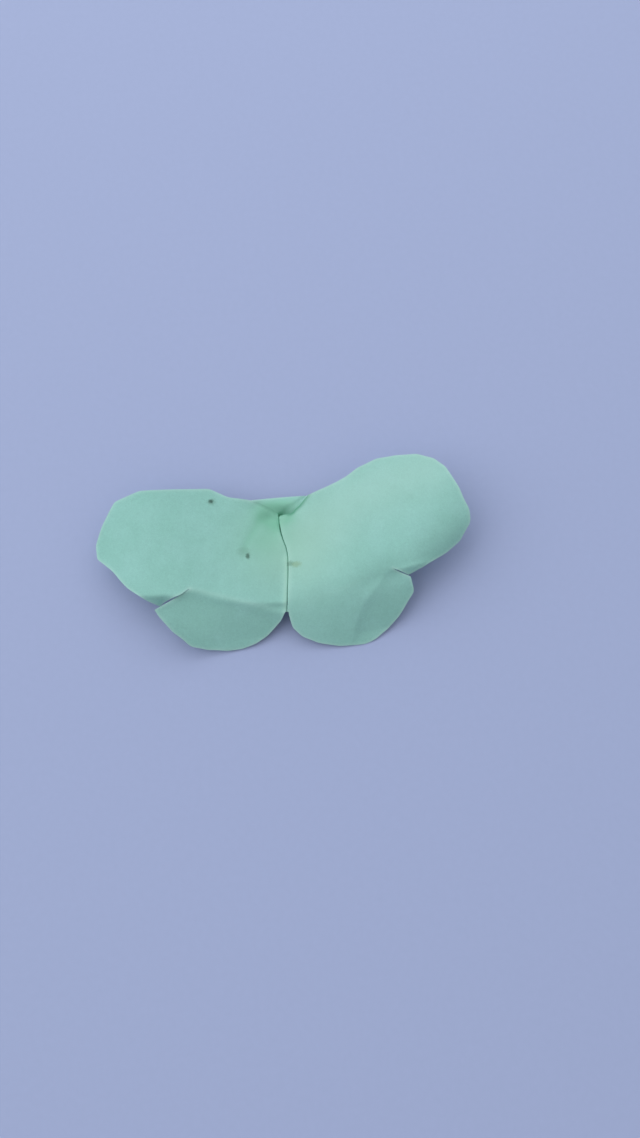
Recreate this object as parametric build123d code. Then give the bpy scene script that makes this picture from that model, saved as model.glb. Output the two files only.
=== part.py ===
from build123d import *
from math import cos, hypot, radians, sin, tan
import os

os.makedirs("parts", exist_ok=True)

# Paper and body pleat, in mm
paper = 0.10                 # thickness of the sheet
pleat_gap = 0.12             # clear space between the two walls of the body pleat
ridge_radius = 0.20          # bend radius of the two folds along the body, mid sheet
body_height = 4.00           # height of the left body fold above the table, mid sheet
ridge_step = 0.25            # the right body fold stands this much higher
body_length = 17.0           # from the tail notch to the point where the pleat opens
keel_rise = 1.6              # the lower fold of the pleat rises this much where the pleat opens
tail_slant = 50.0            # degrees the tail end of the pleat leans to the head

# Bends of the body line as shares of its length: to the head, aside, and how far the right fold stands off
body_bends = ((0.36, 0.036, 0), (0.60, 0.047, 0), (0.82, -0.018, 0), (0.96, -0.026, 0.015), (1.02, -0.03, 0.09))

# Mouth of the pleat at the head
mouth_left_drop = 8.0        # degrees the broad left side of the mouth falls below the left wing
mouth_right_drop = 66.0      # degrees of the short steep side under the fold of the right wing
mouth_valley_radius = 0.4    # bend radius in the bottom of the mouth
mouth_overrun = 1.5          # the mouth is made longer by this, then cut at the neckline
neck_lean = 12.0             # degrees the neckline cut leans to the head as it goes down

# Left half
left_wing = 31.6             # length of the wing from the body fold to its tip
left_lift = 6.0              # degrees the flat of the wing rises away from the body
left_droop = 3.4             # how far the end of the forewing sinks below the flat
left_trailing = 2.2          # the back edge sinks this many times as far
left_bend = (0.7, 0.7, 0.9, 1.2)          # reach of the hindwing bend, notch to outer end
left_fall = (45.6, 45.6, 35.2, 8.4)       # degrees of the hindwing bend, notch to outer end
left_foot = (33.1, 33.1, 20.7, 2.1)       # degrees its lower edge still slopes, notch to outer end

# Right half
right_wing = 31.4
right_lift = 8.0
right_rise = 1.0             # how far the end of the forewing rises above the flat
right_curl = 12.5            # how far the control edge of the rolled back edge lies below
right_sweep = 17.0           # degrees the rolled back edge runs forward
right_bend = (0.9, 1.5, 2.4, 3.0)
right_fall = (40.9, 39.0, 43.0, 55.3)
right_foot = (32.8, 30.8, 34.9, 47.1)

# Scissor corners as shares of the wing length, out from the body fold, and of the body length, to the head,
# both from the tail notch. Each straight stretch is one snip.
left_neck_at = (0.152, 1.159)
left_fore_snips_at = [(0.282, 1.2), (0.377, 1.294), (0.551, 1.3), (0.753, 1.306), (0.892, 1.212),
                      (0.962, 0.982), (1, 0.788), (0.994, 0.647), (0.911, 0.518), (0.829, 0.353),
                      (0.734, 0.2)]
left_slit_end_at = (0.668, 0.129)
left_slit_start_at = (0.5, 0.271)
left_hind_tip_at = (0.69, 0.082)
left_hind_snips_at = [(0.671, 0.018), (0.636, -0.059), (0.598, -0.141), (0.551, -0.206), (0.513, -0.276),
                      (0.427, -0.312), (0.316, -0.329), (0.231, -0.318), (0.158, -0.276),
                      (0.095, -0.206), (0.025, -0.076)]

right_neck_at = (0.153, 1.176)
right_fore_snips_at = [(0.28, 1.259), (0.354, 1.318), (0.427, 1.406), (0.538, 1.482), (0.646, 1.494),
                       (0.761, 1.482), (0.85, 1.412), (0.904, 1.318), (0.968, 1.088), (1, 0.882),
                       (0.997, 0.75), (0.949, 0.594), (0.873, 0.484), (0.745, 0.353)]
right_slit_end_at = (0.662, 0.282)
right_slit_start_at = (0.58, 0.347)
right_hind_tip_at = (0.672, 0.259)
right_hind_snips_at = [(0.682, 0.129), (0.586, -0.094), (0.519, -0.206), (0.436, -0.312), (0.382, -0.347),
                       (0.242, -0.353), (0.137, -0.312), (0.054, -0.241), (0.01, -0.153)]

# Sizes that follow
half = paper / 2
wall_x = (pleat_gap + paper) / 2          # mid sheet of each pleat wall
left_root_x = wall_x + ridge_radius * (1 - sin(radians(left_lift)))
right_root_x = wall_x + ridge_radius * (1 - sin(radians(right_lift)))
left_root_z = body_height
right_root_z = body_height + ridge_step
far = 2 * left_wing                       # longer than anything it trims


def corner(at, wing):
    """Corner in mm from its shares of the wing length and the body length."""
    return (at[0] * wing, at[1] * body_length)


left_neck = corner(left_neck_at, left_wing)
left_fore_snips = [corner(at, left_wing) for at in left_fore_snips_at]
left_slit_end = corner(left_slit_end_at, left_wing)
left_slit_start = corner(left_slit_start_at, left_wing)
left_hind_tip = corner(left_hind_tip_at, left_wing)
left_hind_snips = [corner(at, left_wing) for at in left_hind_snips_at]
right_neck = corner(right_neck_at, right_wing)
right_fore_snips = [corner(at, right_wing) for at in right_fore_snips_at]
right_slit_end = corner(right_slit_end_at, right_wing)
right_slit_start = corner(right_slit_start_at, right_wing)
right_hind_tip = corner(right_hind_tip_at, right_wing)
right_hind_snips = [corner(at, right_wing) for at in right_hind_snips_at]


def left(u, v, w=0.0):
    """Point on the left half: u out from the body fold, v to the head, w off the paper."""
    a = radians(left_lift)
    return Vector(-left_root_x - u * cos(a) + w * sin(a), v, left_root_z + u * sin(a) + w * cos(a))


def right(u, v, w=0.0):
    """The same on the right half."""
    a = radians(right_lift)
    return Vector(right_root_x + u * cos(a) - w * sin(a), v, right_root_z + u * sin(a) + w * cos(a))


def prism(place, corners, low, high):
    """Upright block on one half's paper plane, between two heights off the paper."""
    base = make_face(Polyline(*[place(u, v, low) for u, v in corners], close=True))
    return extrude(base, amount=high - low, dir=place(0, 0, 1) - place(0, 0, 0))


def patch(place, net):
    """Sheet of paper on a smooth surface given by its control points, as mid sheet."""
    middle = Face.make_bezier_surface([[place(*point) for point in row] for row in net])
    return thicken(middle, amount=half, both=True)


def beyond(start, end, extra):
    """Point on the line from start through end, lying extra past the end."""
    length = hypot(end[0] - start[0], end[1] - start[1])
    k = extra / length
    return (end[0] + (end[0] - start[0]) * k, end[1] + (end[1] - start[1]) * k)


def walk(start, heading, moves):
    """Ends of the moves of a cross-section: a list of x, z and heading.

    A move with no turn is a straight length; a move with a turn is an arc of that radius.
    """
    x, z = start
    stops = [(x, z, heading)]
    for size, turn in moves:
        h = radians(heading)
        if turn == 0:
            x, z = x + size * cos(h), z + size * sin(h)
        else:
            side = size if turn > 0 else -size
            x, z = x - side * sin(h), z + side * cos(h)
            heading = heading + turn
            h = radians(heading)
            x, z = x + side * sin(h), z - side * cos(h)
        stops.append((x, z, heading))
    return stops


def strip(start, heading, moves, y):
    """Cross-section of the folded sheet in the plane across the body at y."""
    edges = []
    for off in (half, -half):
        side = []
        for k, (x, z, heading_k) in enumerate(walk(start, heading, moves)[:-1]):
            size, turn = moves[k]
            steps = [(size, 0)] if turn == 0 else [(size, turn / 2), (size, turn / 2)]
            spots = []
            for px, pz, ph in walk((x, z), heading_k, steps):
                spots.append((px - off * sin(radians(ph)), y, pz + off * cos(radians(ph))))
            side.append(Line(*spots) if turn == 0 else ThreePointArc(*spots))
        edges.append(side)
    upper, lower = edges
    start_cap = Line(lower[0] @ 0, upper[0] @ 0)
    end_cap = Line(upper[-1] @ 1, lower[-1] @ 1)
    return Face(Wire([start_cap] + upper + [end_cap] + lower[::-1]))


# Body line on each half: the folds shift sideways with the bends
left_line = [(0, 0)]
right_line = [(0, 0)]
for along_body, aside, stand_off in body_bends:
    y, x, off = along_body * body_length, aside * body_length, stand_off * body_length
    left_line.append((-x / cos(radians(left_lift)), y))
    right_line.append(((x + off) / cos(radians(right_lift)), y))


def pleat_section(k, rise):
    """The pleat across the body at one bend of the body line, its lower fold raised by rise."""
    start = left(*left_line[k])
    finish = right(*right_line[k])
    slot = (finish.X - start.X - left_root_x - right_root_x) / 2 + wall_x
    bottom = half + slot + rise
    left_wall = start.Z - ridge_radius * cos(radians(left_lift)) - bottom
    right_wall = finish.Z - ridge_radius * cos(radians(right_lift)) - bottom
    moves = [(ridge_radius, left_lift - 90), (left_wall, 0), (slot, 180),
             (right_wall, 0), (ridge_radius, right_lift - 90)]
    return strip((start.X, start.Z), -left_lift, moves, left_line[k][1])


def reach(line, neck, y):
    """Where the edge of the mouth, drawn on past the neckline, crosses y."""
    u, v = line[-1]
    return u + (neck[0] - u) * (y - v) / (neck[1] - v)


# Mouth of the pleat at the head: a broad tab falls from the left wing to a steep side under the right wing
mouth_y = (left_neck[1] + right_neck[1]) / 2 + mouth_overrun
left_edge = left(reach(left_line, left_neck, mouth_y), mouth_y)
right_edge = right(reach(right_line, right_neck, mouth_y), mouth_y)
slope_in = -left_lift - mouth_left_drop
slope_out = right_lift + mouth_right_drop


def mouth_moves(left_side, right_side):
    """The trough from the left wing to the right wing, given its two straight sides."""
    return [(ridge_radius, -mouth_left_drop), (left_side, 0), (mouth_valley_radius, slope_out - slope_in),
            (right_side, 0), (ridge_radius, -mouth_right_drop)]


bare_end = walk((left_edge.X, left_edge.Z), -left_lift, mouth_moves(0, 0))[-1]
gap_x = right_edge.X - bare_end[0]
gap_z = right_edge.Z - bare_end[1]
a, b = radians(slope_in), radians(slope_out)
left_side = (gap_x * sin(b) - gap_z * cos(b)) / sin(b - a)
right_side = (gap_z * cos(a) - gap_x * sin(a)) / sin(b - a)
mouth = strip((left_edge.X, left_edge.Z), -left_lift, mouth_moves(left_side, right_side), mouth_y)

# Pleat along the body, its tail end cut on a slant and its mouth cut at the neckline
level = len(left_line) - 2
keel = [pleat_section(k, 0) for k in range(level)]
opening = [pleat_section(level, keel_rise / 2), pleat_section(level + 1, keel_rise)]
pleat = loft(keel + opening + [mouth], ruled=True)
slant_top = left_root_z - 2 * paper
slant_run = slant_top * tan(radians(tail_slant))
tail_wedge = make_face(Polyline((0, 0, slant_top), (0, slant_run, 0), (0, slant_run, -paper),
                                (0, -paper, -paper), (0, -paper, slant_top), close=True))
pleat = pleat - extrude(tail_wedge, amount=body_height, dir=(1, 0, 0), both=True)
left_corner = left(*left_neck)
right_corner = right(*right_neck)
neck_from = left_corner + (left_corner - right_corner)
neck_to = right_corner + (right_corner - left_corner)
to_tail = Vector(0, -far, 0)
neck_block = make_face(Polyline(neck_from, neck_to, neck_to + to_tail, neck_from + to_tail, close=True))
pleat = pleat & extrude(neck_block, amount=far, dir=(0, -tan(radians(neck_lean)), 1), both=True)


def forewing(place, line, neck, snips, slit_end, slit_start, outer):
    """Flat of the wing beside the body, and the curved outer part beyond the slit's start."""
    corners = line + [neck] + snips + [slit_end, slit_start]
    flat = prism(place, corners, -half, half)
    split = slit_start[0]
    flat = flat - prism(place, [(split, -far), (far, -far), (far, far), (split, far)], -paper, paper)
    curved = outer & prism(place, corners, -far / 2, far / 2)
    return [flat, curved]


def hindwing(place, slit_start, tip, snips, bend, fall, foot):
    """Hindwing hanging from the bend between the tail notch and the slit's start."""
    length = hypot(*slit_start)
    along = (slit_start[0] / length, slit_start[1] / length)
    down = (along[1], -along[0])
    net = []
    for k in range(4):
        d = (k * 1.5 / 3 - 0.1) * length
        c, s = cos(radians(fall[k])), sin(radians(fall[k]))
        row = [(0, 0), (bend[k], 0), (bend[k] * (1 + c), bend[k] * s)]
        steep = bend[k] + 0.24 * length
        row.append((bend[k] + steep * c, steep * s))
        flat = 0.7 * length
        row.append((row[3][0] + flat * cos(radians(foot[k])), row[3][1] + flat * sin(radians(foot[k]))))
        net.append([(along[0] * d + down[0] * p, along[1] * d + down[1] * p, -sink) for p, sink in row])
    corners = [beyond(tip, slit_start, bend[3]), tip] + snips + [beyond(snips[-1], (0, 0), bend[0])]
    return patch(place, net) & prism(place, corners, -far / 2, far / 2)


def resting_hindwing(place, slit_start, tip, snips, bend, fall, foot):
    """Deepen or flatten the bend until the lowest edge of the hindwing meets the table."""
    turns = [1.0, 1.1]
    lows = []
    for step in range(6):
        k = turns[step]
        wing = hindwing(place, slit_start, tip, snips, bend, [k * f for f in fall], [k * f for f in foot])
        lows.append(wing.bounding_box().min.Z)
        print("bend times", round(k, 4), "lowest edge at", round(lows[step], 4))
        if abs(lows[step]) < 0.005:
            break
        if step > 0:
            slope = (lows[step] - lows[step - 1]) / (turns[step] - turns[step - 1])
            turns.append(turns[step] - lows[step] / slope)
    return wing


# Left wings
left_span = 1.08 * left_wing - left_slit_start[0]
left_net = []
for k, amount in enumerate((0.0, 0.0, 0.24, 1.0)):
    row = []
    for j, share in enumerate((left_trailing, 1.3, 1.0, 1.0)):
        row.append((left_slit_start[0] + left_span * k / 3, (0.55 * j - 0.12) * body_length,
                    -left_droop * amount * share))
    left_net.append(row)
left_pieces = forewing(left, left_line, left_neck, left_fore_snips, left_slit_end, left_slit_start,
                       patch(left, left_net))
left_pieces.append(resting_hindwing(left, left_slit_start, left_hind_tip, left_hind_snips,
                                    left_bend, left_fall, left_foot))

# Right wings
right_span = 1.07 * right_wing - right_slit_start[0]
right_net = []
for k, amount in enumerate((0.0, 0.0, 0.55, 1.0)):
    row = []
    forward = right_span * k / 3 * tan(radians(right_sweep))
    for at, sink in ((0.2, right_curl), (0.36, 0.0), (0.7, -right_rise), (1.65, -right_rise)):
        row.append((right_slit_start[0] + right_span * k / 3, at * body_length + forward, -sink * amount))
    right_net.append(row)
right_pieces = forewing(right, right_line, right_neck, right_fore_snips, right_slit_end, right_slit_start,
                        patch(right, right_net))
right_pieces.append(resting_hindwing(right, right_slit_start, right_hind_tip, right_hind_snips,
                                     right_bend, right_fall, right_foot))

# One sheet, joined, then set with the middle of its base at the origin
pieces = [pleat] + left_pieces + right_pieces
sheet = pieces[0].fuse(*pieces[1:])
box = sheet.bounding_box()
sheet = sheet.moved(Location((-box.center().X, -box.center().Y, -box.min.Z)))
print("solids", len(sheet.solids()), "sound", sheet.is_valid)
print("paper area", round(sheet.volume / paper), "mm2")
print("moved by", round(-box.center().X, 4), round(-box.center().Y, 4), round(-box.min.Z, 4))
export_step(sheet, "parts/folded_sheet.step")
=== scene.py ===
# %% [markdown]
# # A folded paper butterfly
# The object is one small sheet of blue-green paper, creased down the middle into a narrow pleat that
# makes the body, and snipped with scissors into four wings. It lies on a table on the lower edges of its
# hindwings and on the bottom fold of the pleat. The solid model gives its size and place; here the same
# sheet is made again with finer bends, dents and paper detail.

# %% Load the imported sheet
import bmesh
import bpy
import numpy as np
from math import comb, cos, hypot, radians, sin, tan
from mathutils import Matrix, Vector, geometry, noise


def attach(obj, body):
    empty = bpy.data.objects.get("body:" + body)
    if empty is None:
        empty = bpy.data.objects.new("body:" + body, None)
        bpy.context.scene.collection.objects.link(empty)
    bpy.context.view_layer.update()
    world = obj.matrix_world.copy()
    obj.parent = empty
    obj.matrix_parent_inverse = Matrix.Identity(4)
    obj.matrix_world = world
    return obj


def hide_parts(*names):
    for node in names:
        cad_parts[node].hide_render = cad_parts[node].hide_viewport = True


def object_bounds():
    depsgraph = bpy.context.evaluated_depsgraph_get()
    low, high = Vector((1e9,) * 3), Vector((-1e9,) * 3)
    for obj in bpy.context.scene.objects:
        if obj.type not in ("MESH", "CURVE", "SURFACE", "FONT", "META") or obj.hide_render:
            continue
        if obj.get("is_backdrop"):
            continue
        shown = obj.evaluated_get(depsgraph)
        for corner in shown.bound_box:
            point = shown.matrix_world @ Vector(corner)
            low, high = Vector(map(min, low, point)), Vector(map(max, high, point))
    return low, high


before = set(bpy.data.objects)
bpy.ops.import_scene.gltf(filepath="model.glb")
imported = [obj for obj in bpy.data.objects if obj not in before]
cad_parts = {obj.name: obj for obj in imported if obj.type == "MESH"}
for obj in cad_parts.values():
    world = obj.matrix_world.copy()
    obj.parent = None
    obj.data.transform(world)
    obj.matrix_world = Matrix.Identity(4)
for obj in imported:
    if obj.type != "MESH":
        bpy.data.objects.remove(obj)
solid_box = [list(corner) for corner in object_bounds()]
print("solid model box in metres", solid_box)

# %% [markdown]
# ## The sheet's sizes
# The sizes are those of the solid model, in millimetres and degrees: the paper, the pleat and the two
# halves. A corner of the cut is given as a share of the wing length, out from the body, and of the body
# length, to the head, both from the notch at the tail. Keeping shares makes the outline easy to read and to
# stretch. Only the crease of the left hindwing differs: near the slit it bends softer than the solid's.

# %% Sizes of the folded sheet
paper = 0.10
pleat_gap = 0.12
ridge_radius = 0.20
mouth_valley_radius = 0.4
mouth_overrun = 1.5
body_length = 17.0
keel_rise = 1.6
tail_slant = 50.0
neck_lean = 12.0
wall_x = (pleat_gap + paper) / 2
# Bends of the body line: along the body, aside, and how far the right fold stands off, in body lengths
body_bends = ((0.36, 0.036, 0), (0.60, 0.047, 0), (0.82, -0.018, 0),
              (0.96, -0.026, 0.015), (1.02, -0.03, 0.09))
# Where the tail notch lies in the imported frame
seat = np.array((0.2449, -9.6985, 0.0025))

left = dict(side=-1, wing=31.6, lift=6.0, root_z=4.0, mouth_drop=8.0,
            neck=(0.152, 1.159), slit_end=(0.668, 0.129), slit_start=(0.5, 0.271), hind_tip=(0.69, 0.082),
            fore=[(0.282, 1.2), (0.377, 1.294), (0.551, 1.3), (0.753, 1.306), (0.892, 1.212),
                  (0.962, 0.982), (1, 0.788), (0.994, 0.647), (0.911, 0.518), (0.829, 0.353), (0.734, 0.2)],
            hind=[(0.671, 0.018), (0.636, -0.059), (0.598, -0.141), (0.551, -0.206), (0.513, -0.276),
                  (0.427, -0.312), (0.316, -0.329), (0.231, -0.318), (0.158, -0.276), (0.095, -0.206),
                  (0.025, -0.076)],
            bend=(0.7, 1.2, 2.0, 2.4), fall=(45.6, 45.6, 35.2, 8.4), foot=(33.1, 33.1, 20.7, 2.1))
right = dict(side=1, wing=31.4, lift=8.0, root_z=4.25, mouth_drop=66.0,
             neck=(0.153, 1.176), slit_end=(0.662, 0.282), slit_start=(0.58, 0.347),
             hind_tip=(0.672, 0.259),
             fore=[(0.28, 1.259), (0.354, 1.318), (0.427, 1.406), (0.538, 1.482), (0.646, 1.494),
                   (0.761, 1.482), (0.85, 1.412), (0.904, 1.318), (0.968, 1.088), (1, 0.882), (0.997, 0.75),
                   (0.949, 0.594), (0.873, 0.484), (0.745, 0.353)],
             hind=[(0.682, 0.129), (0.586, -0.094), (0.519, -0.206), (0.436, -0.312), (0.382, -0.347),
                   (0.242, -0.353), (0.137, -0.312), (0.054, -0.241), (0.01, -0.153)],
             bend=(0.9, 1.5, 2.4, 3.0), fall=(40.9, 39.0, 43.0, 55.3), foot=(32.8, 30.8, 34.9, 47.1))

for half in (left, right):
    half["root_x"] = wall_x + ridge_radius * (1 - sin(radians(half["lift"])))
    for name in ("neck", "slit_end", "slit_start", "hind_tip"):
        half[name] = np.array((half[name][0] * half["wing"], half[name][1] * body_length))
    for name in ("fore", "hind"):
        half[name] = [np.array((u * half["wing"], v * body_length)) for u, v in half[name]]
    half["line"] = [np.zeros(2)]
    for y, x, off in body_bends:
        aside = (x + off) if half is right else -x
        half["line"].append(np.array((aside / cos(radians(half["lift"])), y)) * body_length)
print("wing lengths", left["wing"], right["wing"], "body", body_length)

# %% [markdown]
# ## Wings lifting off the body
# Each half of the sheet is a flat plane that rises gently away from the body fold. A point on it has three
# numbers: u out along the wing, v along the body to the head, and w off the paper. All bending is worked
# out as a small w, so the cut outline can be drawn flat, as the scissors saw it.


# %% Place a point of one half
def place(half, u, v, w):
    """Points of one half in mm, from flat positions and heights off the paper plane."""
    a = radians(half["lift"])
    x = half["side"] * (half["root_x"] + u * cos(a) - w * sin(a))
    z = half["root_z"] + u * sin(a) + w * cos(a)
    return np.stack(np.broadcast_arrays(x, v, z), axis=-1)


left_tip = max(left["fore"], key=lambda corner: corner[0])
print("left wing tip, still flat", place(left, *left_tip, 0.0).round(1))

# %% [markdown]
# ## Forewings: one droops, one curls
# Paper that has been handled keeps a curve. The left forewing sinks towards its tip, more at the back edge;
# the right one rises a little, and its back edge is rolled down under it. Both are smooth surfaces on a
# small net of control heights, which bend like paper because they have no kinks.


# %% Height of the forewings
def weights(t, n):
    """Shares of the n + 1 control points at t."""
    return [comb(n, k) * t ** k * (1 - t) ** (n - k) for k in range(n + 1)]


def solve(curve, target):
    """Where a rising curve over 0 to 1 meets the target, by halving."""
    low = np.zeros_like(target)
    high = np.ones_like(target)
    for _ in range(40):
        middle = (low + high) / 2
        below = curve(middle) < target
        low = np.where(below, middle, low)
        high = np.where(below, high, middle)
    return (low + high) / 2


def left_forewing(u, v):
    """Droop of the left forewing beyond the start of its slit."""
    droop, trailing = 3.4, 2.2
    past_tip, net_back, net_length = 1.08, 0.12, 1.65
    span = past_tip * left["wing"] - left["slit_start"][0]
    s = np.clip((u - left["slit_start"][0]) / span, 0, 1)
    r = (v / body_length + net_back) / net_length
    outward = np.dot((0, 0, 0.24, 1), weights(s, 3))
    return -droop * outward * np.dot((trailing, 1.3, 1, 1), weights(r, 3))


def right_forewing(u, v):
    """Rise of the right forewing and the roll of its back edge."""
    curl, rise, sweep, past_tip = 12.5, 1, radians(17), 1.07
    span = past_tip * right["wing"] - right["slit_start"][0]
    s = np.clip((u - right["slit_start"][0]) / span, 0, 1)
    stations = np.array((0.2, 0.36, 0.7, 1.65)) * body_length
    r = solve(lambda t: np.dot(stations, weights(t, 3)), v - s * span * tan(sweep))
    outward = np.dot((0, 0, 0.55, 1), weights(s, 3))
    return -outward * np.dot((curl, 0, -rise, -rise), weights(r, 3))


print("left tip sinks", left_forewing(left_tip[:1], left_tip[1:]).round(2))

# %% [markdown]
# ## Hindwings hang from a crease
# A crease runs from the tail notch to the start of each slit, and the hindwing hangs from it down to the
# table. The bend is tight near the notch and opens towards the slit. Its section is a curve that starts in
# the plane of the wing, turns down, and flattens again at the foot.


# %% Height of the hindwings
def crease_way(half):
    """Length and direction of the crease from the tail notch to the start of the slit."""
    length = hypot(*half["slit_start"])
    return length, half["slit_start"] / length


def hindwing(half, u, v):
    """Fall of the hindwing below the plane of its half."""
    steep_share, flat_share, net_back, net_length = 0.24, 0.7, 0.1, 1.5
    length, along = crease_way(half)
    d = u * along[0] + v * along[1]
    p = u * along[1] - v * along[0]
    out, sink = [], []
    for bend, fall, foot in zip(half["bend"], half["fall"], half["foot"]):
        c, s = cos(radians(fall)), sin(radians(fall))
        steep, flat = bend + steep_share * length, flat_share * length
        knee = (bend + steep * c, steep * s)
        out.append((0, bend, bend * (1 + c), knee[0], knee[0] + flat * cos(radians(foot))))
        sink.append((0, 0, bend * s, knee[1], knee[1] + flat * sin(radians(foot))))
    shares = weights((d / length + net_back) / net_length, 3)
    out = np.tensordot(np.array(out), shares, axes=(0, 0))
    sink = np.tensordot(np.array(sink), shares, axes=(0, 0))
    r = solve(lambda t: sum(o * b for o, b in zip(out, weights(t, 4))), p)
    return -sum(k * b for k, b in zip(sink, weights(r, 4)))


def is_hind(half, u, v):
    """Which points lie on the hindwing: behind the crease and behind the slit."""
    hair = 1e-6
    start = half["slit_start"]
    gap = (half["slit_end"] + half["hind_tip"]) / 2 - start
    behind_crease = u * start[1] - v * start[0] > hair
    behind_slit = gap[0] * (v - start[1]) - gap[1] * (u - start[0]) < hair
    return behind_crease & behind_slit


def sheet_height(half, u, v):
    """Height off the paper plane anywhere on one half."""
    hind = is_hind(half, u, v)
    fore = left_forewing(u, v) if half is left else right_forewing(u, v)
    return np.where(hind, hindwing(half, u, np.where(hind, v, 0)), fore)


foot_u, foot_v = np.array([10.0]), np.array([-5.5])
print("left hindwing foot", sheet_height(left, foot_u, foot_v).round(2))

# %% [markdown]
# ## Cutting the outline
# Scissors make a row of short straight snips, with a slightly blunt corner where the next one starts. The
# outline is drawn as those snips with the corners eased, plus a wander of a few hundredths of a millimetre,
# because no hand cuts a perfect line. The wander has a fixed seed, so each run cuts the same edge.


# %% Draw the snipped outline
noise.seed_set(5)
wander, wander_length = 0.035, 1.7


def snips(corners, step=0.32, ease=0.5, share=0.3):
    """Points along a chain of snips, its inner corners eased within a share of each snip."""
    path = [corners[0]]
    for before, here, after in zip(corners, corners[1:], corners[2:]):
        back = min(ease, share * np.linalg.norm(here - before), share * np.linalg.norm(after - here))
        enter = here + (before - here) / np.linalg.norm(before - here) * back
        leave = here + (after - here) / np.linalg.norm(after - here) * back
        path += [(1 - t) ** 2 * enter + 2 * t * (1 - t) * here + t * t * leave for t in (0, 0.33, 0.67, 1)]
    path.append(corners[-1])
    points = []
    for a, b in zip(path, path[1:]):
        count = max(1, round(np.linalg.norm(b - a) / step))
        points += [a + (b - a) * k / count for k in range(count)]
    points.append(path[-1])
    for k in range(1, len(points) - 1):
        x, y = points[k]
        drift = noise.noise_vector(Vector((x / wander_length, y / wander_length, corners[0][0])))
        points[k] = points[k] + wander * np.array((drift.x, drift.y))
    return points


# Rows of points along the body, from each bend of the body line to the next and to the neck
rows = (17, 11, 10, 8, 8, 24)


def eased(steps, reach=3):
    """Rows along the body with their sharp bends eased; the two ends stay."""
    steps = np.array(steps)
    soft = steps.copy()
    for k in range(len(steps)):
        room = min(reach, k, len(steps) - 1 - k)
        soft[k] = steps[k - room:k + room + 1].mean(axis=0)
    return soft


def body_edge(half):
    """The body fold from the notch to the neck, in the same steps as the pleat."""
    stops = half["line"] + [half["neck"]]
    points = [stops[0]]
    for count, a, b in zip(rows, stops, stops[1:]):
        points += [a + (b - a) * k / count for k in range(1, count + 1)]
    return list(eased(points))


def outline(half):
    """Closed outline of one half."""
    fore = snips([half["neck"]] + half["fore"] + [half["slit_end"]])
    slit_out = snips([half["slit_end"], half["slit_start"]])
    slit_back = snips([half["slit_start"], half["hind_tip"]])
    hind = snips([half["hind_tip"]] + half["hind"] + [np.zeros(2)])
    return np.array(body_edge(half) + fore[1:] + slit_out[1:] + slit_back[1:] + hind[1:-1])


for half in (left, right):
    half["loop"] = outline(half)
    print("outline points", len(half["loop"]))

# %% [markdown]
# ## Filling a half with fine triangles
# A curved sheet needs many small faces to shade smoothly. Points on a triangular grid are spread over the
# inside of the outline, and joined with the outline and the crease into triangles.


# %% Fill one half
def inside(points, loop):
    """Which points lie inside the closed loop."""
    x, y = points[:, 0], points[:, 1]
    found = np.zeros(len(points), bool)
    for (xa, ya), (xb, yb) in zip(loop, np.roll(loop, -1, axis=0)):
        if ya != yb:
            crosses = (ya > y) != (yb > y)
            found ^= crosses & (x < (xb - xa) * (y - ya) / (yb - ya) + xa)
    return found


def nearest(points, targets):
    """Distance from each point to the nearest target."""
    best = np.full(len(points), 1e9)
    for chunk in np.array_split(targets, max(1, len(targets) // 60)):
        gap = np.linalg.norm(points[:, None, :] - chunk[None, :, :], axis=2)
        best = np.minimum(best, gap.min(axis=1))
    return best


def fill(half, spacing=0.34, clear=0.62):
    """Flat triangles of one half: positions and faces; grid points keep clear of the outline."""
    loop = half["loop"]
    crease = np.array(snips([np.zeros(2), half["slit_start"]]))
    crease[1:-1] = [half["slit_start"] * k / (len(crease) - 1) for k in range(1, len(crease) - 1)]
    low, high = loop.min(axis=0), loop.max(axis=0)
    equal_sided, merge_gap, inside_only = 0.866, 1e-5, 1
    tall = spacing * equal_sided
    grid = []
    for j in range(int((high[1] - low[1]) / tall) + 1):
        for i in range(int((high[0] - low[0]) / spacing) + 1):
            grid.append((low[0] + (i + 0.5 * (j % 2)) * spacing, low[1] + j * tall))
    grid = np.array(grid)
    grid = grid[inside(grid, loop)]
    fixed = np.vstack([loop, crease[1:-1]])
    grid = grid[nearest(grid, fixed) > clear * spacing]
    points = np.vstack([fixed, grid])
    count = len(loop)
    edges = [(k, (k + 1) % count) for k in range(count)]
    start = int(np.argmin(np.linalg.norm(loop - half["slit_start"], axis=1)))
    chain = [0] + list(range(count, len(fixed))) + [start]
    edges += list(zip(chain, chain[1:]))
    flat = [Vector((float(x), float(y))) for x, y in points]
    spots, _, faces, _, _, _ = geometry.delaunay_2d_cdt(flat, edges, [], inside_only, merge_gap)
    return np.array([(p.x, p.y) for p in spots]), [list(f) for f in faces]


for half in (left, right):
    half["flat"], half["faces"] = fill(half)
    print("points", len(half["flat"]), "triangles", len(half["faces"]))

# %% [markdown]
# ## The pleat that makes the body
# Between the halves the sheet dives down, turns at the table and comes back up, so the body is two paper
# walls with a narrow slot between them. At the head the slot opens into a shallow mouth. A section follows
# the paper across: left ridge, left wall, bottom fold, right wall, right ridge.


# %% Draw the pleat's sections
def section(start, heading, moves, counts):
    """Points along a cross-section made of straight runs (length, 0) and arcs (radius, turn)."""
    x, z = start
    points = [(x, z)]
    for (size, turn), count in zip(moves, counts):
        for _ in range(count):
            h = radians(heading)
            if turn == 0:
                x, z = x + size / count * cos(h), z + size / count * sin(h)
            else:
                side = size if turn > 0 else -size
                x, z = x - side * sin(h), z + side * cos(h)
                heading += turn / count
                h = radians(heading)
                x, z = x + side * sin(h), z - side * cos(h)
            points.append((x, z))
    return np.array(points)


wall_steps, bottom_steps = 8, 8
counts = (5, wall_steps, bottom_steps, wall_steps, 5)


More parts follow.
